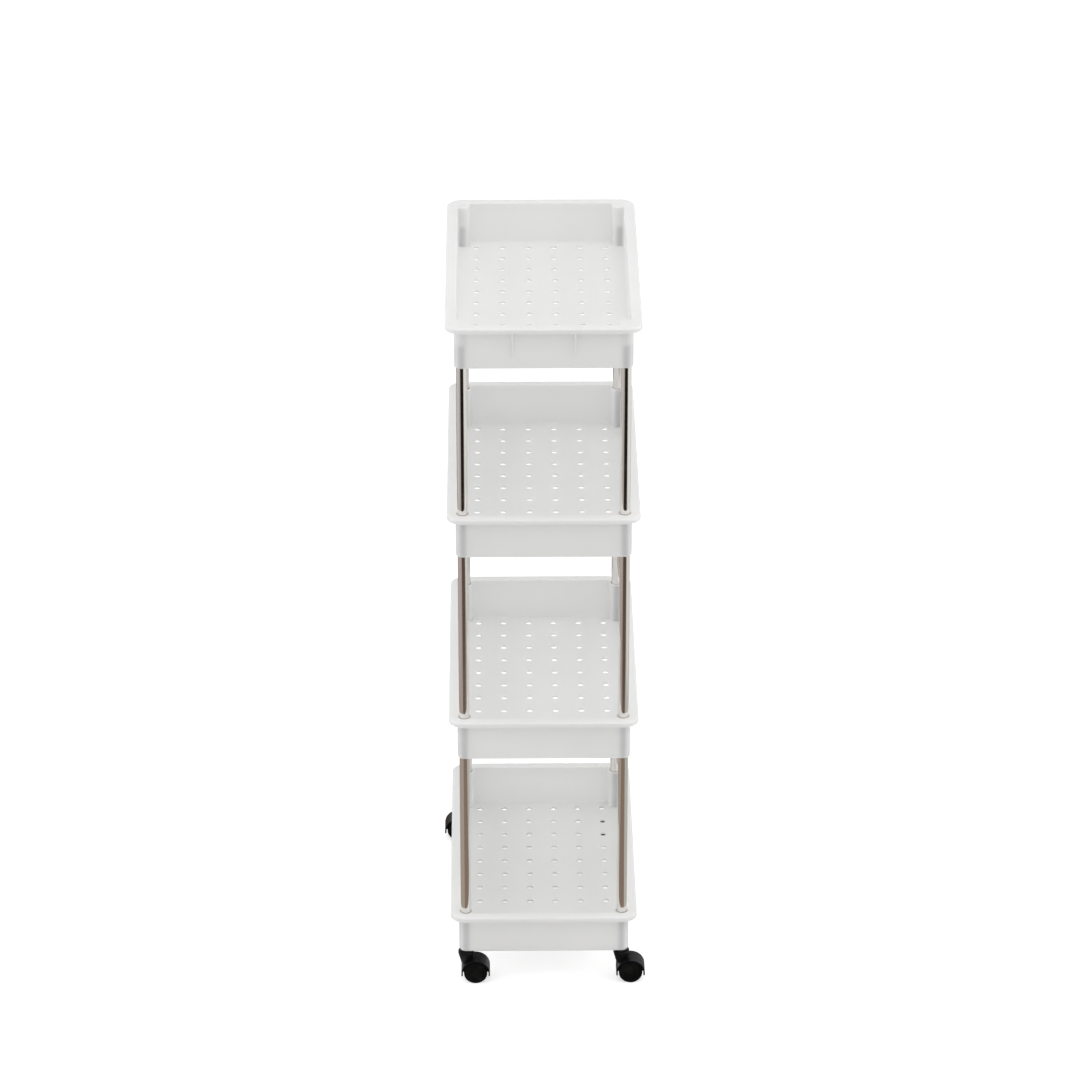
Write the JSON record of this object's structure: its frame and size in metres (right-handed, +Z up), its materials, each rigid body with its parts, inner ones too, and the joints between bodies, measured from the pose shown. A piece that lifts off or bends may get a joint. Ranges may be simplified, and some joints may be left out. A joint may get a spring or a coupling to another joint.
{
  "type": "rolling utility cart",
  "caption": "Slim upright rolling cart with stacked open plastic trays, holed floors and wide rims, on bright metal corner tubes and swivelling twin-wheel casters.",
  "frame": {"origin": "on the ground, at the middle of the cart's length and width", "axes": "+Z up, +X across the cart's width, +Y along its length from the front end to the rear"},
  "size_m": [0.24, 0.371, 0.8555],
  "materials": {
    "tray_plastic": "satin moulded white plastic",
    "tube_metal": "polished",
    "caster_plastic": "satin black",
    "wheel_plastic": "matt black",
    "steel": "zinc plated"
  },
  "bodies": {
    "cart": {"base_tray": "tray_plastic", "lower_tray": "tray_plastic", "upper_tray": "tray_plastic", "top_tray": "tray_plastic", "lower_tube_front_left": "tube_metal", "lower_tube_front_right": "tube_metal", "lower_tube_rear_left": "tube_metal", "lower_tube_rear_right": "tube_metal", "middle_tube_front_left": "tube_metal", "middle_tube_front_right": "tube_metal", "middle_tube_rear_left": "tube_metal", "middle_tube_rear_right": "tube_metal", "upper_tube_front_left": "tube_metal", "upper_tube_front_right": "tube_metal", "upper_tube_rear_left": "tube_metal", "upper_tube_rear_right": "tube_metal", "caster_stem_front_left": "steel", "caster_stem_front_right": "steel", "caster_stem_rear_left": "steel", "caster_stem_rear_right": "steel", "stem_grip_rings": "steel"},
    "caster_front_left": {"caster_hood_front_left": "caster_plastic", "caster_axle_front_left": "steel"},
    "wheel_front_left_outer": {"caster_wheel_front_left_outer": "wheel_plastic"},
    "wheel_front_left_inner": {"caster_wheel_front_left_inner": "wheel_plastic"},
    "caster_front_right": {"caster_hood_front_right": "caster_plastic", "caster_axle_front_right": "steel"},
    "wheel_front_right_outer": {"caster_wheel_front_right_outer": "wheel_plastic"},
    "wheel_front_right_inner": {"caster_wheel_front_right_inner": "wheel_plastic"},
    "caster_rear_left": {"caster_hood_rear_left": "caster_plastic", "caster_axle_rear_left": "steel"},
    "wheel_rear_left_outer": {"caster_wheel_rear_left_outer": "wheel_plastic"},
    "wheel_rear_left_inner": {"caster_wheel_rear_left_inner": "wheel_plastic"},
    "caster_rear_right": {"caster_hood_rear_right": "caster_plastic", "caster_axle_rear_right": "steel"},
    "wheel_rear_right_outer": {"caster_wheel_rear_right_outer": "wheel_plastic"},
    "wheel_rear_right_inner": {"caster_wheel_rear_right_inner": "wheel_plastic"}
  },
  "joints": [
    {"name": "swivel_front_left", "type": "hinge", "parent": "cart", "child": "caster_front_left", "pos_m": [-0.092, -0.1675, 0.042], "axis": [0, 0, 1], "continuous": true},
    {"name": "roll_front_left_outer", "type": "hinge", "parent": "caster_front_left", "child": "wheel_front_left_outer", "pos_m": [-0.081, -0.1675, 0.014], "axis": [0, 1, 0], "continuous": true},
    {"name": "roll_front_left_inner", "type": "hinge", "parent": "caster_front_left", "child": "wheel_front_left_inner", "pos_m": [-0.081, -0.1675, 0.014], "axis": [0, 1, 0], "continuous": true},
    {"name": "swivel_front_right", "type": "hinge", "parent": "cart", "child": "caster_front_right", "pos_m": [0.092, -0.1675, 0.042], "axis": [0, 0, 1], "continuous": true},
    {"name": "roll_front_right_outer", "type": "hinge", "parent": "caster_front_right", "child": "wheel_front_right_outer", "pos_m": [0.103, -0.1675, 0.014], "axis": [0, 1, 0], "continuous": true},
    {"name": "roll_front_right_inner", "type": "hinge", "parent": "caster_front_right", "child": "wheel_front_right_inner", "pos_m": [0.103, -0.1675, 0.014], "axis": [0, 1, 0], "continuous": true},
    {"name": "swivel_rear_left", "type": "hinge", "parent": "cart", "child": "caster_rear_left", "pos_m": [-0.092, 0.1675, 0.042], "axis": [0, 0, 1], "continuous": true},
    {"name": "roll_rear_left_outer", "type": "hinge", "parent": "caster_rear_left", "child": "wheel_rear_left_outer", "pos_m": [-0.103, 0.1675, 0.014], "axis": [0, 1, 0], "continuous": true},
    {"name": "roll_rear_left_inner", "type": "hinge", "parent": "caster_rear_left", "child": "wheel_rear_left_inner", "pos_m": [-0.103, 0.1675, 0.014], "axis": [0, 1, 0], "continuous": true},
    {"name": "swivel_rear_right", "type": "hinge", "parent": "cart", "child": "caster_rear_right", "pos_m": [0.092, 0.1675, 0.042], "axis": [0, 0, 1], "continuous": true},
    {"name": "roll_rear_right_outer", "type": "hinge", "parent": "caster_rear_right", "child": "wheel_rear_right_outer", "pos_m": [0.081, 0.1675, 0.014], "axis": [0, 1, 0], "continuous": true},
    {"name": "roll_rear_right_inner", "type": "hinge", "parent": "caster_rear_right", "child": "wheel_rear_right_inner", "pos_m": [0.081, 0.1675, 0.014], "axis": [0, 1, 0], "continuous": true}
  ]
}
